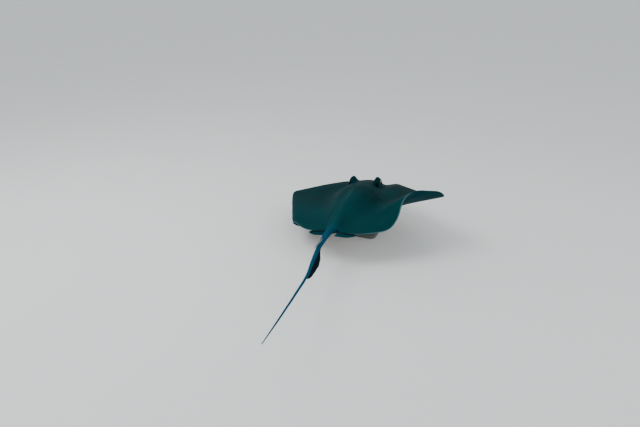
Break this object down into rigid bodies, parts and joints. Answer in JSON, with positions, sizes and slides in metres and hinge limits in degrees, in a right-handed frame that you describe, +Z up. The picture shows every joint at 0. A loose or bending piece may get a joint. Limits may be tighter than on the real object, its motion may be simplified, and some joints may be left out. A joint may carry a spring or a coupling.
{
  "type": "stingray model",
  "caption": "Life-size still model of a stingray gliding with one wing raised and one curled down, on a flat display stand with two short rods.",
  "frame": {"origin": "middle of the stand's underside, on the floor", "axes": "+Z up, the animal faces -Y and trails its tail along +Y, its left side is +X"},
  "size_m": [0.7542, 1.4522, 0.2992],
  "materials": {
    "back_skin": "smooth moist skin, dark olive grey, white below",
    "fin_skin": "smooth moist skin with a thin pale margin",
    "tail_skin": "moist skin, bluish grey above",
    "fold_skin": "thin dark skin fold",
    "dentine": "satin, saw-edged",
    "cornea": "wet gloss",
    "stand_paint": "satin dark grey paint"
  },
  "bodies": {
    "root": {"head": "back_skin", "trunk": "back_skin", "tail_base": "tail_skin", "tail_middle": "tail_skin", "tail_whip": "tail_skin", "tail_fold": "fold_skin", "sting": "dentine", "pectoral_fin_left": "fin_skin", "pectoral_fin_right": "fin_skin", "pelvic_fin_left": "fin_skin", "pelvic_fin_right": "fin_skin", "eye_left": "cornea", "eye_right": "cornea", "stand_rod_front": "stand_paint", "stand_rod_rear": "stand_paint", "stand_base": "stand_paint"}
  },
  "joints": []
}
